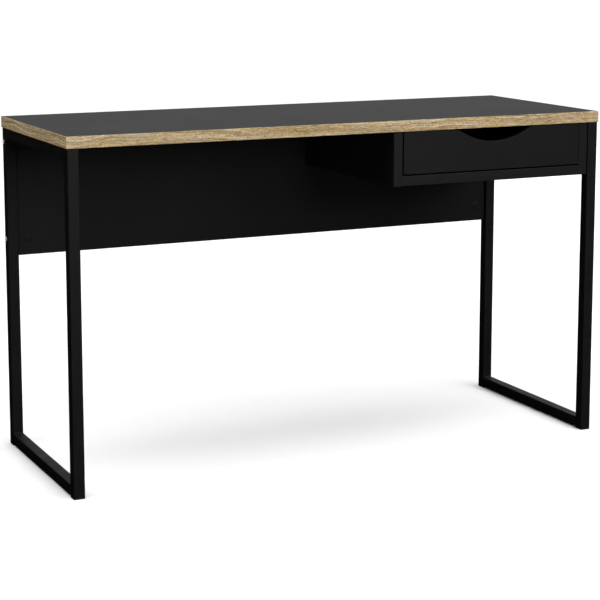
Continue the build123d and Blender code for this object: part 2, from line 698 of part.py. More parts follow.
screw_into_side = headed(SCREW, SHEET + SIDE_SCREW_BITE, SCREW_HEAD)
save(set_out(screw_into_side, fixed_runner_screws), "cabinet_runner_screws")
screw_under_drawer = headed(SCREW, SHEET + BASE_SCREW_BITE, SCREW_HEAD)
save(set_out(screw_under_drawer, moving_runner_screws), "drawer_runner_screws")

# ---------------------------------------------------------------- drawer
groove_z = (GROOVE_Z, GROOVE_Z + GROOVE_HEIGHT)
hardboard_z = (HARDBOARD_Z, HARDBOARD_Z + HARDBOARD)

# The front has a finger scoop: one wide hollow whose shoulders round over into the top edge. One
# strip of edging runs all round it, so the board inside is smaller by the edging's thickness.
with BuildSketch(Plane.XZ.offset(-BOX_FRONT_Y)) as front_outline:
    with Locations(((FRONT_LEFT + FRONT_RIGHT) / 2, (FRONT_BOTTOM + FRONT_TOP) / 2)):
        Rectangle(FRONT_RIGHT - FRONT_LEFT, FRONT_TOP - FRONT_BOTTOM)
    with Locations((SCOOP_X, FRONT_TOP - SCOOP_DEPTH + SCOOP_RADIUS)):
        Circle(SCOOP_RADIUS, mode=Mode.SUBTRACT)
    shoulders = front_outline.vertices().filter_by_position(Axis.X, FRONT_LEFT + 1, FRONT_RIGHT - 1)
    fillet(shoulders, SCOOP_SHOULDER)

with BuildSketch(Plane.XZ.offset(-BOX_FRONT_Y)) as front_board:
    add(front_outline.sketch_local)
    offset(amount=-EDGING, kind=Kind.INTERSECTION, mode=Mode.REPLACE)

with BuildPart() as drawer_front_edging:
    extrude(front_outline.sketch, amount=PANEL)
    fillet(drawer_front_edging.faces().sort_by(Axis.Y)[0].edges(), EDGING_ARRIS)
    extrude(front_board.sketch, amount=PANEL, mode=Mode.SUBTRACT)
save(drawer_front_edging, "drawer_front_edging")

with BuildPart() as drawer_front:
    extrude(front_board.sketch, amount=PANEL)
    block(
        (BOX_LEFT, BOX_RIGHT), (BOX_FRONT_Y - GROOVE_DEPTH, BOX_FRONT_Y), groove_z, mode=Mode.SUBTRACT
    )
    drill(opposite(drawer_cams), CAM_BOLT_THREAD[0] + FIT, CAM_BOLT_THREAD[1] + FIT)
    drill(opposite(drawer_dowels), SMALL_DOWEL[0] + FIT, SMALL_DOWEL_IN_FACE + FIT)
save(drawer_front, "drawer_front")

for name, outer_x, inner_x in (
    ("left", BOX_LEFT, BOX_LEFT + DRAWER_BOARD),
    ("right", BOX_RIGHT, BOX_RIGHT - DRAWER_BOARD),
):
    towards_middle = (inner_x - outer_x) / DRAWER_BOARD
    with BuildPart() as drawer_side:
        block(sorted((outer_x, inner_x)), (BOX_FRONT_Y, BOX_REAR_Y), (DRAWER_BASE, DRAWER_TOP - EDGING))
        chamfer(drawer_side.edges().filter_by(Axis.Y).group_by(Axis.Z)[0], BOARD_ARRIS)
        groove_x = sorted((inner_x, inner_x - towards_middle * GROOVE_DEPTH))
        block(groove_x, (BOX_FRONT_Y, BOX_REAR_Y), groove_z, mode=Mode.SUBTRACT)
        bore_for_cams(drawer_cams, DRAWER_BOARD, SMALL_CAM)
        bore_for_dowels(drawer_dowels, SMALL_DOWEL, SMALL_DOWEL_IN_FACE)
        drill(drawer_back_screws, SCREW + CLEARANCE, DRAWER_BOARD)
        drill(moving_runner_screws, SCREW + FIT, SHEET + BASE_SCREW_BITE + FIT)
    save(drawer_side, f"drawer_{name}_side")

with BuildPart() as drawer_back:
    block(
        (BOX_LEFT + DRAWER_BOARD, BOX_RIGHT - DRAWER_BOARD),
        (BOX_REAR_Y - DRAWER_BOARD, BOX_REAR_Y),
        (hardboard_z[1], DRAWER_TOP - EDGING),
    )
    drill(drawer_back_screws, SCREW + FIT, BACK_SCREW_LENGTH + PILOT_SPARE)
    drill(drawer_bottom_screws, SCREW + FIT, HARDBOARD + SIDE_SCREW_BITE + PILOT_SPARE)
save(drawer_back, "drawer_back")

with BuildPart() as drawer_box_edging:
    edge_z = (DRAWER_TOP - EDGING, DRAWER_TOP)
    for x in ((BOX_LEFT, BOX_LEFT + DRAWER_BOARD), (BOX_RIGHT - DRAWER_BOARD, BOX_RIGHT)):
        add(edging_strip(x, (BOX_FRONT_Y, BOX_REAR_Y), edge_z, UP, Axis.Y))
    back_x = (BOX_LEFT + DRAWER_BOARD + EDGING_GAP, BOX_RIGHT - DRAWER_BOARD - EDGING_GAP)
    add(edging_strip(back_x, (BOX_REAR_Y - DRAWER_BOARD, BOX_REAR_Y), edge_z, UP, Axis.X))
save(drawer_box_edging, "drawer_box_edging")

# The bottom slides in from behind, along the grooves and under the back.
with BuildPart() as drawer_bottom:
    in_groove = DRAWER_BOARD - GROOVE_DEPTH + 0.2
    block(
        (BOX_LEFT + in_groove, BOX_RIGHT - in_groove),
        (BOX_FRONT_Y - GROOVE_DEPTH + 0.2, BOX_REAR_Y),
        hardboard_z,
    )
    drill(drawer_bottom_screws, SCREW + CLEARANCE, HARDBOARD)
save(drawer_bottom, "drawer_bottom")

save(cam_locks(drawer_cams, DRAWER_BOARD, SMALL_CAM), "drawer_cam_locks")
save(cam_bolts(drawer_cams), "drawer_cam_bolts")
save(dowels(drawer_dowels, SMALL_DOWEL, SMALL_DOWEL_IN_FACE), "drawer_dowels")
screw_into_back = headed(SCREW, BACK_SCREW_LENGTH, SCREW_HEAD)
save(set_out(screw_into_back, drawer_back_screws), "drawer_back_screws")
screw_under_back = headed(SCREW, HARDBOARD + SIDE_SCREW_BITE, SCREW_HEAD)
save(set_out(screw_under_back, drawer_bottom_screws), "drawer_bottom_screws")
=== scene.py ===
import math

import bmesh
import bpy
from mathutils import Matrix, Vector


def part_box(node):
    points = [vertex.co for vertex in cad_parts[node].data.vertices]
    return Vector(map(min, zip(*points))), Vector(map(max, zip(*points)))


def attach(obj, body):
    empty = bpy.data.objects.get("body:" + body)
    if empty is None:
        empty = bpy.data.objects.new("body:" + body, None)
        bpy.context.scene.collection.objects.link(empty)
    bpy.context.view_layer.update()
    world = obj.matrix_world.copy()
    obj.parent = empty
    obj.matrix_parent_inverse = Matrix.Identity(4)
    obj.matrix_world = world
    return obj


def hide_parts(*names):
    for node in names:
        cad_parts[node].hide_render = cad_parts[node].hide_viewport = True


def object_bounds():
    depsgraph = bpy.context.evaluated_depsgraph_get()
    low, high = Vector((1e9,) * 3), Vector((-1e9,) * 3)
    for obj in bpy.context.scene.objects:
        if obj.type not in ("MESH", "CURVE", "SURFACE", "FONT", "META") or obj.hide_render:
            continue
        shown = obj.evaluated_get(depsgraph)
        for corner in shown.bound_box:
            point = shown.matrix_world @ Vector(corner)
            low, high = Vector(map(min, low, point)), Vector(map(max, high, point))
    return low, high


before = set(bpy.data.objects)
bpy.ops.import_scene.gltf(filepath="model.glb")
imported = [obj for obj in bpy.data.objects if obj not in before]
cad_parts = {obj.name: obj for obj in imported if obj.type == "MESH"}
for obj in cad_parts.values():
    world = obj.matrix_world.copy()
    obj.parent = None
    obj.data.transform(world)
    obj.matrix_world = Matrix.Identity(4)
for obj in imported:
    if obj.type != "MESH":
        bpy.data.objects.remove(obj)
cad_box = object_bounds()
bpy.ops.object.select_all(action="DESELECT")


# ---------------------------------------------------------------- the table top
# Particle board faced on both sides with black melamine, pressed against an embossed sheet that
# leaves a fine pearl texture. Nothing shines sharply in it, and it looks grey at a low angle.
def finish(name, colour, roughness, metallic=0.0):
    """A new material, with its node tree and its Principled shader."""
    material = bpy.data.materials.new(name)
    material.use_nodes = True
    tree = material.node_tree
    shader = tree.nodes["Principled BSDF"]
    shader.inputs["Base Color"].default_value = (*colour, 1)
    shader.inputs["Roughness"].default_value = roughness
    shader.inputs["Metallic"].default_value = metallic
    return material, tree, shader


def object_noise(tree, scale, detail=2.0, stretch=(1, 1, 1), roughness=0.5, place=None):
    """Noise in the object's own metres, so many waves to the metre, stretched along an axis."""
    if place is None:
        place = tree.nodes.new("ShaderNodeTexCoord").outputs["Object"]
    mapping = tree.nodes.new("ShaderNodeMapping")
    mapping.inputs["Scale"].default_value = stretch
    noise = tree.nodes.new("ShaderNodeTexNoise")
    noise.inputs["Scale"].default_value = scale
    noise.inputs["Detail"].default_value = detail
    noise.inputs["Roughness"].default_value = roughness
    tree.links.new(place, mapping.inputs["Vector"])
    tree.links.new(mapping.outputs["Vector"], noise.inputs["Vector"])
    return noise.outputs["Fac"]


def ranged(tree, value, low, high, from_low=0.0, from_high=1.0):
    """A value brought from one range into another."""
    node = tree.nodes.new("ShaderNodeMapRange")
    node.inputs["From Min"].default_value = from_low
    node.inputs["From Max"].default_value = from_high
    node.inputs["To Min"].default_value = low
    node.inputs["To Max"].default_value = high
    tree.links.new(value, node.inputs["Value"])
    return node.outputs["Result"]


def colours(tree, value, *stops):
    """A colour ramp over a value, from stops of (place, colour)."""
    ramp = tree.nodes.new("ShaderNodeValToRGB")
    elements = ramp.color_ramp.elements
    while len(elements) < len(stops):
        elements.new(0.5)
    for element, (place, colour) in zip(elements, stops):
        element.position = place
        element.color = (*colour, 1)
    tree.links.new(value, ramp.inputs["Fac"])
    return ramp.outputs["Color"]


def raised(tree, shader, height, distance, strength=1.0):
    """Bump of that many metres, laid over any bump that the shader already has."""
    bump = tree.nodes.new("ShaderNodeBump")
    bump.inputs["Distance"].default_value = distance
    bump.inputs["Strength"].default_value = strength
    tree.links.new(height, bump.inputs["Height"])
    if shader.inputs["Normal"].is_linked:
        tree.links.new(shader.inputs["Normal"].links[0].from_socket, bump.inputs["Normal"])
    tree.links.new(bump.outputs["Normal"], shader.inputs["Normal"])


def dress(names, material):
    """Give CAD nodes one material in all of their slots."""
    for name in names:
        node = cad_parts[name]
        if not node.material_slots:
            node.data.materials.append(material)
        for slot in node.material_slots:
            slot.material = material


def melamine(name, shade, roughness):
    """Black melamine facing: pearl texture a millimetre across and faintly cloudy gloss."""
    material, tree, shader = finish(name, (shade, shade, shade * 1.03), roughness)
    shader.inputs["Specular IOR Level"].default_value = 0.18
    clouds = object_noise(tree, 7, 3)
    gloss = ranged(tree, clouds, roughness - 0.01, roughness + 0.01, 0.3, 0.7)
    tree.links.new(gloss, shader.inputs["Roughness"])
    patches = object_noise(tree, 4, 2)
    tone = colours(tree, patches, (0.3, (shade * 0.9,) * 3), (0.7, (shade * 1.12,) * 3))
    tree.links.new(tone, shader.inputs["Base Color"])
    raised(tree, shader, object_noise(tree, 900, 2), 0.00006)
    raised(tree, shader, object_noise(tree, 260, 1), 0.00008)
    return material


board_black = melamine("black_melamine_top", 0.010, 0.5)
dress(["tabletop_board"], board_black)


# ---------------------------------------------------------------- the edge bands of the top
# Plastic edging two millimetres thick, printed with pale oak and glued round the board. The grain
# runs along each edge in fine streaks that drift up and down, with flecks and short dark pores.
def multiplied(tree, amount, first, second):
    """One colour multiplied by another, as far as amount says."""
    node = tree.nodes.new("ShaderNodeMix")
    node.data_type = "RGBA"
    node.blend_type = "MULTIPLY"
    node.inputs["Factor"].default_value = amount
    tree.links.new(first, node.inputs["A"])
    tree.links.new(second, node.inputs["B"])
    return node.outputs["Result"]


def drifting_grain(tree, drift):
    """Object coordinates whose height drifts along the grain, so that streaks rise and fall."""
    place = tree.nodes.new("ShaderNodeTexCoord").outputs["Object"]
    slow = tree.nodes.new("ShaderNodeTexNoise")
    slow.inputs["Scale"].default_value = 7.5
    slow.inputs["Detail"].default_value = 1.5
    shift = tree.nodes.new("ShaderNodeVectorMath")
    shift.operation = "MULTIPLY_ADD"
    shift.inputs[1].default_value = (0, 0, drift)
    tree.links.new(place, slow.inputs["Vector"])
    tree.links.new(slow.outputs["Color"], shift.inputs[0])
    tree.links.new(place, shift.inputs[2])
    return shift.outputs["Vector"]


def oak_band(name, along_x):
    """Printed oak whose grain runs along X or along Y."""
    material, tree, shader = finish(name, (0.43, 0.32, 0.18), 0.5)
    place = drifting_grain(tree, 0.032)

    def grain(scale, length, detail, roughness):
        """Streaks so many to the metre across the grain, and about so many metres long."""
        stretch = (1 / (scale * length), 1, 1) if along_x else (1, 1 / (scale * length), 1)
        return object_noise(tree, scale, detail, stretch, roughness, place)

    figure = grain(330, 0.26, 3, 0.6)
    streaks = grain(450, 0.02, 3, 0.7)
    flecks = grain(420, 0.005, 1, 0.5)
    tint = grain(120, 0.06, 2, 0.5)
    pores = grain(1300, 0.01, 2, 0.6)
    ground = colours(
        tree,
        figure,
        (0.30, (0.24, 0.156, 0.074)),
        (0.44, (0.354, 0.264, 0.144)),
        (0.56, (0.447, 0.356, 0.226)),
        (0.70, (0.583, 0.507, 0.387)),
    )
    lines = colours(
        tree,
        streaks,
        (0.36, (0.50, 0.44, 0.36)),
        (0.50, (0.86, 0.84, 0.82)),
        (0.62, (1, 1, 1)),
    )
    light = colours(tree, flecks, (0.34, (0.68, 0.66, 0.63)), (0.62, (1, 1, 1)))
    hue = colours(tree, tint, (0.38, (1.0, 0.96, 0.78)), (0.62, (0.93, 0.96, 1.0)))
    dots = colours(tree, pores, (0.33, (0.5, 0.42, 0.34)), (0.42, (1, 1, 1)))
    wood = multiplied(tree, 1.0, ground, lines)
    wood = multiplied(tree, 1.0, wood, light)
    wood = multiplied(tree, 1.0, wood, hue)
    wood = multiplied(tree, 0.6, wood, dots)
    tree.links.new(wood, shader.inputs["Base Color"])
    shader.inputs["Specular IOR Level"].default_value = 0.25
    tree.links.new(ranged(tree, streaks, 0.58, 0.44, 0.35, 0.65), shader.inputs["Roughness"])
    raised(tree, shader, pores, 0.00008)
    return material


dress(["tabletop_edge_front", "tabletop_edge_rear"], oak_band("oak_band_long", True))
dress(["tabletop_edge_left", "tabletop_edge_right"], oak_band("oak_band_short", False))


# ---------------------------------------------------------------- the side frames
# Square steel tube, welded and powder coated in matt black. The coat melts into a fine orange
# peel, softens the tube's corners and keeps a grain that only shows close by.
def powder_coat(name, shade):
    """Matt black powder: speckled tone, cloudy gloss and orange peel."""
    material, tree, shader = finish(name, (shade, shade, shade * 1.05), 0.5)
    shader.inputs["Specular IOR Level"].default_value = 0.2
    grains = object_noise(tree, 1500, 1)
    speckle = colours(tree, grains, (0.35, (shade * 0.75,) * 3), (0.65, (shade * 1.25,) * 3))
    tree.links.new(speckle, shader.inputs["Base Color"])
    clouds = ranged(tree, object_noise(tree, 30, 2), 0.45, 0.56, 0.3, 0.7)
    tree.links.new(clouds, shader.inputs["Roughness"])
    raised(tree, shader, object_noise(tree, 420, 2), 0.00012)
    return material


frame_black = powder_coat("black_powder_coat", 0.0022)
tubes = ("front_leg", "rear_leg", "top_rail", "bottom_rail")
dress([f"{side}_{tube}" for side in ("left", "right") for tube in tubes], frame_black)


# ---------------------------------------------------------------- the welds of the side frames
# Each rail is welded between two legs. The faces are ground flush, and in the four inner corners
# of each frame the rippled bead stays under the powder coat.
def draw_out(profile):
    """Extrude the selected ring through (radius, height) stops, from the first, where it lies."""
    (radius, height), *stops = profile
    for next_radius, next_height in stops:
        rise = (0, 0, next_height - height)
        bpy.ops.mesh.extrude_region_move(TRANSFORM_OT_translate={"value": rise})
        bpy.ops.transform.resize(value=(next_radius / radius, next_radius / radius, 1))
        radius, height = next_radius, next_height


def end_edit(angle):
    """Point the faces outwards, leave edit mode and shade smooth up to that many degrees."""
    bpy.ops.mesh.select_all(action="SELECT")
    bpy.ops.mesh.normals_make_consistent(inside=False)
    bpy.ops.object.mode_set(mode="OBJECT")
    bpy.ops.object.shade_smooth_by_angle(angle=math.radians(angle))
    return bpy.context.object


def turned(profile, sides, angle=40):
    """A piece drawn out along +Z from a disc, as on a lathe."""
    radius, height = profile[0]
    bpy.ops.mesh.primitive_circle_add(
        vertices=sides, radius=radius, fill_type="NGON", location=(0, 0, height)
    )
    bpy.ops.object.transform_apply(location=True)
    bpy.ops.object.mode_set(mode="EDIT")
    bpy.ops.mesh.select_all(action="SELECT")
    draw_out(profile)
    return end_edit(angle)


def set_out(pattern, name, places, material, body):
    """Copies of one piece at (location, direction of its +Z), joined as one named group."""
    copies = []
    for location, direction in places:
        bpy.ops.object.select_all(action="DESELECT")
        pattern.select_set(True)
        bpy.context.view_layer.objects.active = pattern
        bpy.ops.object.duplicate()
        copy = bpy.context.object
        copy.rotation_euler = Vector(direction).to_track_quat("Z", "Y").to_euler()
        copy.location = location
        copies.append(copy)
    bpy.data.objects.remove(pattern)
    bpy.ops.object.select_all(action="DESELECT")
    for copy in copies:
        copy.select_set(True)
    bpy.context.view_layer.objects.active = copies[0]
    bpy.ops.object.join()
    bpy.ops.object.transform_apply(location=True, rotation=True, scale=True)
    group = bpy.context.object
    group.name = group.data.name = name
    group.data.materials.append(material)
    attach(group, body)
    return group


BEAD_RADIUS = 0.0024
RIPPLE_RADII = (BEAD_RADIUS * 0.88, BEAD_RADIUS)
RIPPLE_STEP = 0.0005
RIPPLE_STEPS = 40
for side in ("left", "right"):
    ripples = [(RIPPLE_RADII[step % 2], RIPPLE_STEP * (step + 1)) for step in range(RIPPLE_STEPS)]
    bead_end = RIPPLE_STEP * (RIPPLE_STEPS + 1)
    bead = turned([(BEAD_RADIUS / 2, 0), *ripples, (BEAD_RADIUS / 2, bead_end)], 16, 60)
    top_low, top_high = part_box(f"{side}_top_rail")
    bottom_low, bottom_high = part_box(f"{side}_bottom_rail")
    start = (top_low.x + top_high.x - bead_end) / 2
    corners = [(y, z) for y in (top_low.y, top_high.y) for z in (bottom_high.z, top_low.z)]
    seats = [((start, y, z), (1, 0, 0)) for y, z in corners]
    set_out(bead, f"{side}_frame_welds", seats, frame_black, "desk")


# ---------------------------------------------------------------- the feet
# Black polypropylene, pressed into the open lower ends of the legs. It carries the faint grain of
# a spark-eroded mould.
def moulded(name, shade, roughness, gloss):
    """Plain plastic with a fine mould grain and slightly cloudy gloss."""
    material, tree, shader = finish(name, (shade, shade, shade), roughness)
    shader.inputs["Specular IOR Level"].default_value = gloss
    raised(tree, shader, object_noise(tree, 1800, 2), 0.00005)
    clouds = ranged(tree, object_noise(tree, 60, 2), roughness - 0.05, roughness + 0.05)
    tree.links.new(clouds, shader.inputs["Roughness"])
    return material


foot_black = moulded("black_polypropylene", 0.011, 0.55, 0.35)
feet = [f"{side}_{end}_foot" for side in ("left", "right") for end in ("front", "rear")]
dress(feet, foot_black)


# ---------------------------------------------------------------- screws and inserts of the top
# Six M6 screws with low domed heads and hexagon sockets come up through the top rails and bite in
# threaded inserts in the board. All are steel with bright zinc plating.
SAME_PLACE = 1e-6
def plated(name, colour, roughness):
    """Metal plating: cloudy gloss, and fine scratches that run every way."""
    material, tree, shader = finish(name, colour, roughness, 0.55)
    clouds = ranged(tree, object_noise(tree, 700, 2), roughness - 0.08, roughness + 0.1)
    tree.links.new(clouds, shader.inputs["Roughness"])
    bluish = tuple(channel * tint for channel, tint in zip(colour, (0.9, 0.95, 1.03)))
    tone = colours(tree, object_noise(tree, 160, 2), (0.35, bluish), (0.65, colour))
    tree.links.new(tone, shader.inputs["Base Color"])
    raised(tree, shader, object_noise(tree, 2500, 1, (1, 0.08, 1)), 0.00001)
    raised(tree, shader, object_noise(tree, 2500, 1, (0.08, 1, 1)), 0.00001)
    return material


def pick(kind, test):
    """In edit mode, select just the edges or faces whose every corner passes a test."""
    bpy.ops.mesh.select_mode(type=kind)
    bpy.ops.mesh.select_all(action="DESELECT")
    mesh = bmesh.from_edit_mesh(bpy.context.edit_object.data)
    for part in mesh.edges if kind == "EDGE" else mesh.faces:
        if all(test(corner.co) for corner in part.verts):
            part.select_set(True)
    bmesh.update_edit_mesh(bpy.context.edit_object.data)


def headed(top, profile, sides):
    """The rest of a screw whose driving recess is open in edit mode, with its rim at height top."""
    rim_radius, rim_height = profile[0]
    bpy.ops.mesh.primitive_circle_add(vertices=sides, radius=rim_radius, location=(0, 0, top))
    pick("EDGE", lambda corner: abs(corner.z - top) < SAME_PLACE)
    bpy.ops.mesh.bridge_edge_loops()

    def on_rim(corner):
        return max(abs(corner.to_2d().length - rim_radius), abs(corner.z - top)) < SAME_PLACE

    pick("EDGE", on_rim)
    draw_out(profile)
    bpy.ops.mesh.edge_face_add()
    return end_edit(30)


def thread(crest, core, start, end, pitch):
    """Stops down a thread: crest and core by turns."""
    turns = range(round((start - end) / pitch))
    ridge = ((crest, 0.3), (core, 0.8))
    return [(radius, start - pitch * (turn + part)) for turn in turns for radius, part in ridge]


M6_HEAD_RADIUS = 0.0052
M6_HEAD_HEIGHT = 0.0019
M6_RADIUS = 0.003
M6_CORE = 0.00246
M6_PITCH = 0.001
M6_THREAD = 0.018
SOCKET_RADIUS = 0.0023
SOCKET_DEPTH = 0.0014
FRAME_SCREW_LENGTH = 0.037


def m6_screw(length):
    """A low domed M6 head with a hexagon socket, standing on the XY plane, and its shank below."""
    floor_height = M6_HEAD_HEIGHT - SOCKET_DEPTH
    bpy.ops.mesh.primitive_circle_add(
        vertices=6, radius=SOCKET_RADIUS, fill_type="NGON", location=(0, 0, floor_height)
    )
    bpy.ops.object.transform_apply(location=True)
    bpy.ops.object.mode_set(mode="EDIT")
    bpy.ops.mesh.select_all(action="SELECT")
    draw_out([(SOCKET_RADIUS, 0), (SOCKET_RADIUS, SOCKET_DEPTH)])
    pick("FACE", lambda corner: abs(corner.z - M6_HEAD_HEIGHT) < SAME_PLACE)
    bpy.ops.mesh.delete(type="FACE")
    dome = [
        (M6_HEAD_RADIUS * math.cos(angle), M6_HEAD_HEIGHT * (0.3 + 0.7 * math.sin(angle)))
        for angle in (math.radians(step) for step in (52, 40, 26, 12, 0))
    ]
    dome = [(SOCKET_RADIUS * 1.2, M6_HEAD_HEIGHT), *dome]
    shank = [(M6_HEAD_RADIUS, 0), (M6_RADIUS, 0), (M6_RADIUS, M6_THREAD - length)]
    winding = thread(M6_RADIUS, M6_CORE, M6_THREAD - length, M6_PITCH - length, M6_PITCH)
    return headed(M6_HEAD_HEIGHT, [*dome, *shank, *winding, (M6_CORE * 0.8, -length)], 24)


zinc = plated("bright_zinc", (0.62, 0.63, 0.64), 0.32)
low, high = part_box("tabletop_screws")
seats = [
    ((x, y, low.z + M6_HEAD_HEIGHT), (0, 0, -1))
    for x in (low.x + M6_HEAD_RADIUS, high.x - M6_HEAD_RADIUS)
    for y in (low.y + M6_HEAD_RADIUS, 0, high.y - M6_HEAD_RADIUS)
]
screw = m6_screw(FRAME_SCREW_LENGTH)
frame_screws = set_out(screw, "frame_screws", seats, zinc, "desk")
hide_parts("tabletop_screws")
dress(["tabletop_inserts"], zinc)


# ---------------------------------------------------------------- the modesty panel
# Thinner board with the same black facing, between the rear legs. Its base colour is darker than
# the top's: painted shade that stands in for the deep shade round the panel and cabinet. Beech
# dowels locate it under the top.
painted_shade_board_black = melamine("black_melamine_boards_painted_shade", 0.0035, 0.5)
dress(["modesty_panel"], painted_shade_board_black)


def beech(name, stretch):
    """Turned beech: pale pinkish wood with short dark rays along the grain."""
    material, tree, shader = finish(name, (0.5, 0.33, 0.18), 0.62)
    rays = object_noise(tree, 500, 3, stretch)
    dark, plain, pale = (0.36, 0.21, 0.1), (0.5, 0.33, 0.18), (0.56, 0.39, 0.23)
    grain = colours(tree, rays, (0.35, dark), (0.55, plain), (0.7, pale))
    tree.links.new(grain, shader.inputs["Base Color"])
    raised(tree, shader, object_noise(tree, 900, 2, stretch), 0.00006)
    return material


beech_upright = beech("beech_grain_upright", (1, 1, 0.06))
dress(["modesty_dowels"], beech_upright)


# ---------------------------------------------------------------- bolts of the modesty panel
# Longer screws of the same kind pass through each rear leg, into barrel nuts let into the panel.
# Their heads show on the legs' outer faces.
PANEL_BOLT_LENGTH = 0.0574
low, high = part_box("modesty_bolts")
seats = [
    ((x, (low.y + high.y) / 2, z), (direction, 0, 0))
    for x, direction in ((low.x + M6_HEAD_HEIGHT, -1), (high.x - M6_HEAD_HEIGHT, 1))
    for z in (low.z + M6_HEAD_RADIUS, high.z - M6_HEAD_RADIUS)
]
bolt = m6_screw(PANEL_BOLT_LENGTH)
panel_bolts = set_out(bolt, "panel_bolts", seats, zinc, "desk")
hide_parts("modesty_bolts")
dress(["modesty_barrel_nuts"], zinc)


# ---------------------------------------------------------------- cover caps
# Thin domed caps of black polyethylene, pushed over the barrel nuts' holes. The cabinet hides the
# fourth hole, so it has none.
CAP_RADIUS = 0.009
CAP_HEIGHT = 0.0013
PLUG_RADIUS = 0.00495
PLUG_DEPTH = 0.0008
cap = turned(
    [
        (PLUG_RADIUS * 0.9, -PLUG_DEPTH),
        (PLUG_RADIUS, -PLUG_DEPTH * 0.6),
        (PLUG_RADIUS, 0),
        (CAP_RADIUS * 0.985, 0),
        (CAP_RADIUS, CAP_HEIGHT * 0.15),
        (CAP_RADIUS, CAP_HEIGHT * 0.4),
        (CAP_RADIUS * 0.96, CAP_HEIGHT * 0.66),
        (CAP_RADIUS * 0.86, CAP_HEIGHT * 0.86),
        (CAP_RADIUS * 0.6, CAP_HEIGHT * 0.97),
        (CAP_RADIUS * 0.25, CAP_HEIGHT),
    ],
    40,
)
low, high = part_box("modesty_cover_caps")
left_x, right_x = low.x + CAP_RADIUS, high.x - CAP_RADIUS
lower_z, upper_z = low.z + CAP_RADIUS, high.z - CAP_RADIUS
holes = ((left_x, lower_z), (left_x, upper_z), (right_x, lower_z))
seats = [((x, low.y + CAP_HEIGHT, z), (0, -1, 0)) for x, z in holes]
cap_black = moulded("black_polyethylene", 0.004, 0.5, 0.15)
cover_caps = set_out(cap, "cover_caps", seats, cap_black, "desk")
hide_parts("modesty_cover_caps")


# ---------------------------------------------------------------- the drawer cabinet
# Two sides and a bottom of thick board, drawn together and up to the top by cams, with dowels
# beside them. The cams are zinc die castings, duller than the plated bolts that they pull on.
# These boards take the darker copy of the melamine, whose low base colour is painted shade.
dress(["cabinet_left_side", "cabinet_right_side", "cabinet_bottom"], painted_shade_board_black)
cast_zinc = plated("cast_zinc", (0.36, 0.37, 0.39), 0.5)
dress(["cabinet_cam_locks"], cast_zinc)
dress(["cabinet_cam_bolts"], zinc)
dress(["cabinet_dowels"], beech_upright)


# ---------------------------------------------------------------- the edging of the boards
# Plain black plastic strip a millimetre thick, glued along every board edge that shows. The
# edging machine rounds its corners over and buffs them, so it shines a little more than the facing.
edging_black = moulded("black_edging", 0.0035, 0.44, 0.25)
edgings = ("modesty_edging", "cabinet_edging", "drawer_front_edging", "drawer_box_edging")
dress(edgings, edging_black)


# ---------------------------------------------------------------- runners
# Cold-bent sheet steel under a thin pale grey epoxy coat. The fixed pair is screwed to the
# cabinet's sides and the moving pair under the drawer's sides.
def epoxy(name, colour):
    """A smooth baked coat that is thinner in random patches, with slight waves and a few dust
    specks.
    """
    material, tree, shader = finish(name, colour, 0.38)
    thin = tuple(channel * 0.86 for channel in colour)
    tone = colours(tree, object_noise(tree, 45, 3), (0.35, thin), (0.6, colour))
    dust = object_noise(tree, 1400, 1)
    specks = colours(tree, dust, (0.26, (0.55, 0.55, 0.55)), (0.31, (1, 1, 1)))
    tree.links.new(multiplied(tree, 0.7, tone, specks), shader.inputs["Base Color"])
    tree.links.new(ranged(tree, object_noise(tree, 90, 2), 0.32, 0.45), shader.inputs["Roughness"])
    raised(tree, shader, object_noise(tree, 260, 2), 0.00006)
    return material


runner_coat = epoxy("pale_epoxy_coat", (0.55, 0.55, 0.53))
pairs = [f"{side}_{body}" for side in ("left", "right") for body in ("cabinet", "drawer")]
dress([f"{pair}_runner" for pair in pairs], runner_coat)
dress(["cabinet_roller_axles", "drawer_roller_axles"], zinc)


# ---------------------------------------------------------------- rollers
# Natural nylon, milky at the edges, with a slightly polished running face. One turns on an axle
# riveted to the front of each fixed runner, and one at the rear of each moving runner.
nylon, tree, shader = finish("natural_nylon", (0.72, 0.71, 0.66), 0.42)
shader.inputs["Subsurface Weight"].default_value = 0.25
shader.inputs["Subsurface Radius"].default_value = (0.003, 0.0028, 0.002)
shader.inputs["Subsurface Scale"].default_value = 1.0
tree.links.new(ranged(tree, object_noise(tree, 300, 2), 0.34, 0.5), shader.inputs["Roughness"])
milk = object_noise(tree, 120, 2)
cloudy = colours(tree, milk, (0.35, (0.66, 0.64, 0.57)), (0.6, (0.74, 0.73, 0.69)))
tree.links.new(cloudy, shader.inputs["Base Color"])
raised(tree, shader, object_noise(tree, 900, 2), 0.00004)
dress([f"{pair}_roller" for pair in pairs], nylon)


# ---------------------------------------------------------------- screws of the runners
# Pan-head wood screws with a cross recess, zinc plated, three to a runner. The fixed runners'
# screws go sideways into the cabinet, and the moving runners' go up into the drawer's sides.
PAN_RADIUS = 0.0032
PAN_HEIGHT = 0.0016
WOOD_CREST = 0.00175
WOOD_CORE = 0.00115
WOOD_PITCH = 0.0014
WOOD_NECK = 0.001
WOOD_RUNOUT = 0.0025
WOOD_POINT = 0.0015
CROSS_WIDTH = 0.00085
CROSS_REACH = 0.0017
CROSS_DEPTH = 0.0012
SHEET = 0.0012
FIXED_SCREW_LENGTH = 0.0137
FIXED_SCREW_STEPS = (0, 0.16, 0.30)
MOVING_SCREW_LENGTH = 0.0087
MOVING_SCREW_STEPS = (0, 0.16, 0.32)


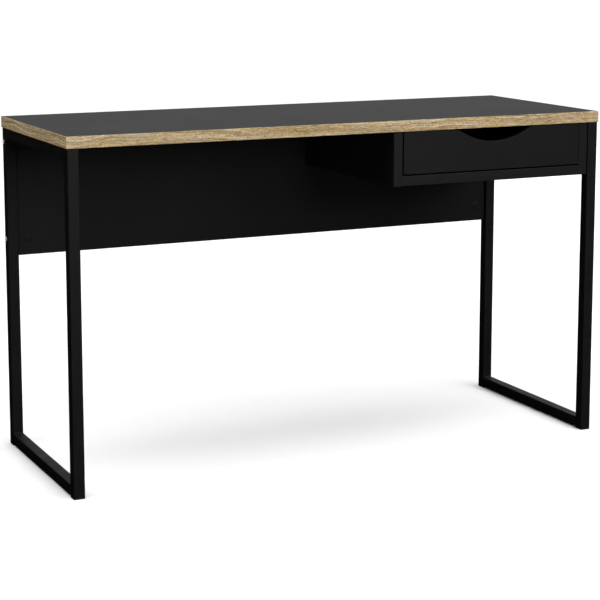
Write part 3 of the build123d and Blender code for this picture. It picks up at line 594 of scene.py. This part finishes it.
def wood_screw(length):
    """A pan head with a cross recess, standing on the XY plane, and its threaded shank below."""
    floor_height = PAN_HEIGHT - CROSS_DEPTH
    bpy.ops.mesh.primitive_plane_add(size=CROSS_WIDTH * 0.7, location=(0, 0, floor_height))
    bpy.ops.object.transform_apply(location=True)
    bpy.ops.object.mode_set(mode="EDIT")
    for way in ((1, 0, 0), (0, 1, 0), (-1, 0, 0), (0, -1, 0)):
        outward = Vector(way)
        pick("EDGE", lambda corner: abs(corner.dot(outward) - CROSS_WIDTH * 0.35) < SAME_PLACE)
        arm = outward * CROSS_REACH * 0.45
        bpy.ops.mesh.extrude_region_move(TRANSFORM_OT_translate={"value": tuple(arm)})
    bpy.ops.mesh.select_mode(type="FACE")
    bpy.ops.mesh.select_all(action="SELECT")
    bpy.ops.mesh.extrude_region_move(TRANSFORM_OT_translate={"value": (0, 0, CROSS_DEPTH)})
    bpy.ops.transform.resize(value=(1.5, 1.5, 1))
    pick("FACE", lambda corner: abs(corner.z - PAN_HEIGHT) < SAME_PLACE)
    bpy.ops.mesh.delete(type="FACE")
    rim = (CROSS_REACH * 1.12, PAN_HEIGHT)
    pan = [rim, (0.0026, 0.0015), (0.003, 0.0012), (PAN_RADIUS, 0.0006), (PAN_RADIUS, 0)]
    neck = [(WOOD_CORE * 1.2, 0), (WOOD_CORE, -WOOD_NECK)]
    winding = thread(WOOD_CREST, WOOD_CORE, -WOOD_NECK, WOOD_RUNOUT - length, WOOD_PITCH)
    point = [(WOOD_CORE * 0.8, WOOD_POINT - length), (0.0002, -length)]
    return headed(PAN_HEIGHT, [*pan, *neck, *winding, *point], 20)


low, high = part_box("cabinet_runner_screws")
left_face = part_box("left_cabinet_runner")[0].x + SHEET
right_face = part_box("right_cabinet_runner")[1].x - SHEET
seats = [
    ((x, low.y + PAN_RADIUS + along, low.z + PAN_RADIUS), (inward, 0, 0))
    for x, inward in ((left_face, 1), (right_face, -1))
    for along in FIXED_SCREW_STEPS
]
screw = wood_screw(FIXED_SCREW_LENGTH)
fixed_screws = set_out(screw, "fixed_runner_screws", seats, zinc, "desk")
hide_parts("cabinet_runner_screws")

low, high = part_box("drawer_runner_screws")
seats = [
    ((x, low.y + PAN_RADIUS + along, low.z + PAN_HEIGHT), (0, 0, -1))
    for x in (low.x + PAN_RADIUS, high.x - PAN_RADIUS)
    for along in MOVING_SCREW_STEPS
]
screw = wood_screw(MOVING_SCREW_LENGTH)
moving_screws = set_out(screw, "moving_runner_screws", seats, zinc, "drawer")
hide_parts("drawer_runner_screws")


# ---------------------------------------------------------------- the drawer
# The front is the cabinet's board, with edging all round and a wide finger scoop. Sides and back
# are thinner board in the same facing, joined to it by small cams and dowels.
# The drawer's boards take the darker copy of the melamine, whose low base colour is painted shade.
dress(["drawer_front", "drawer_left_side", "drawer_right_side", "drawer_back"], painted_shade_board_black)
dress(["drawer_cam_locks"], cast_zinc)
dress(["drawer_cam_bolts"], zinc)
dress(["drawer_dowels"], beech("beech_grain_endways", (1, 0.06, 1)))


# ---------------------------------------------------------------- the drawer's bottom
# Hardboard three millimetres thick, pressed from wood fibre and lacquered black on its smooth
# face. The fibres print through the lacquer as a soft mottle.
hardboard, tree, shader = finish("black_hardboard", (0.012, 0.012, 0.012), 0.55)
shader.inputs["Specular IOR Level"].default_value = 0.25
fibres = object_noise(tree, 260, 5, (1, 0.5, 1), 0.7)
mottle = colours(tree, fibres, (0.35, (0.008, 0.008, 0.008)), (0.65, (0.017, 0.016, 0.015)))
tree.links.new(mottle, shader.inputs["Base Color"])
tree.links.new(ranged(tree, fibres, 0.48, 0.64, 0.3, 0.7), shader.inputs["Roughness"])
raised(tree, shader, fibres, 0.00003)
dress(["drawer_bottom"], hardboard)


# ---------------------------------------------------------------- screws of the drawer's box
# The same wood screws hold the sides to the back, two at each side, and three hold the bottom up
# under the back.
BACK_SCREW_LENGTH = 0.035
BOTTOM_SCREW_LENGTH = 0.0155
low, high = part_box("drawer_back_screws")
seats = [
    ((x, (low.y + high.y) / 2, z), (direction, 0, 0))
    for x, direction in ((low.x + PAN_HEIGHT, -1), (high.x - PAN_HEIGHT, 1))
    for z in (low.z + PAN_RADIUS, high.z - PAN_RADIUS)
]
screw = wood_screw(BACK_SCREW_LENGTH)
back_screws = set_out(screw, "back_screws", seats, zinc, "drawer")
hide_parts("drawer_back_screws")

low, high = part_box("drawer_bottom_screws")
seats = [
    ((x, (low.y + high.y) / 2, low.z + PAN_HEIGHT), (0, 0, -1))
    for x in (low.x + PAN_RADIUS, (low.x + high.x) / 2, high.x - PAN_RADIUS)
]
screw = wood_screw(BOTTOM_SCREW_LENGTH)
bottom_screws = set_out(screw, "bottom_screws", seats, zinc, "drawer")
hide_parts("drawer_bottom_screws")


# ---------------------------------------------------------------- the studio
# A matt white floor under a white world, a broad sky, softboxes round the desk and a long lens
# that looks slightly down on it. Neither floor nor world shows in the desk's gloss.
floor_material, tree, shader = finish("studio_floor", (0.96, 0.96, 0.96), 0.9)
shader.inputs["Specular IOR Level"].default_value = 0
bpy.ops.mesh.primitive_plane_add(size=80, location=(0, 0, cad_box[0][2]))
floor = bpy.context.object
floor.name = "floor"
floor.data.materials.append(floor_material)
floor.visible_glossy = False

world = bpy.data.worlds.new("studio")
bpy.context.scene.world = world
world.use_nodes = True
world.node_tree.nodes["Background"].inputs["Color"].default_value = (1, 1, 1, 1)
world.node_tree.nodes["Background"].inputs["Strength"].default_value = 1.0
world.cycles_visibility.glossy = False
world.cycles_visibility.diffuse = False

bpy.ops.object.light_add(type="SUN", location=(0, 0, 3))
skylight = bpy.context.object
skylight.name = "skylight"
skylight.data.energy = 3.45
skylight.data.angle = 1.6
skylight.rotation_euler = (math.radians(20), math.radians(12), 0)


def softbox(name, place, target, size, power):
    """A rectangular area light that faces a point and that the camera does not see."""
    bpy.ops.object.light_add(type="AREA", location=place)
    light = bpy.context.object
    light.name = name
    light.data.shape = "RECTANGLE"
    light.data.size, light.data.size_y = size
    light.data.energy = power
    light.rotation_euler = (Vector(target) - Vector(place)).to_track_quat("-Z", "Y").to_euler()
    light.visible_camera = False
    return light


softbox("front_right", (2.0, -3.8, 2.1), (0.2, 0, 0.5), (1.6, 1.6), 31)
softbox("front", (0, -4.0, 1.7), (0, 0, 0.4), (1.2, 1.2), 40)
softbox("high_left", (-3.4, -0.6, 3.0), (-0.65, 0, 0.6), (1.6, 1.6), 36)
softbox("behind", (2.1, 5.5, 2.2), (0, 0, 0.76), (9.0, 3.6), 49)
softbox("low_rear", (4.4, 2.9, 0.25), (0.1, 0.1, 0.38), (1.8, 0.4), 38)
softbox("ceiling", (0, 0.01, 4.5), (0, 0, 0.76), (11.0, 11.0), 116)
softbox("backdrop", (12, 28, 8), (12, 28.01, 0), (50, 36), 700).visible_glossy = False

bpy.ops.object.camera_add(location=(-1.7465, -3.6827, 1.1604))
camera = bpy.context.object
camera.name = "camera"
camera.rotation_euler = (math.radians(90) - 0.15381, 0, -0.44049)
camera.data.sensor_width = 36
camera.data.lens = 106.2
camera.data.shift_y = -0.14
bpy.context.scene.camera = camera
bpy.context.scene.view_settings.view_transform = "Standard"
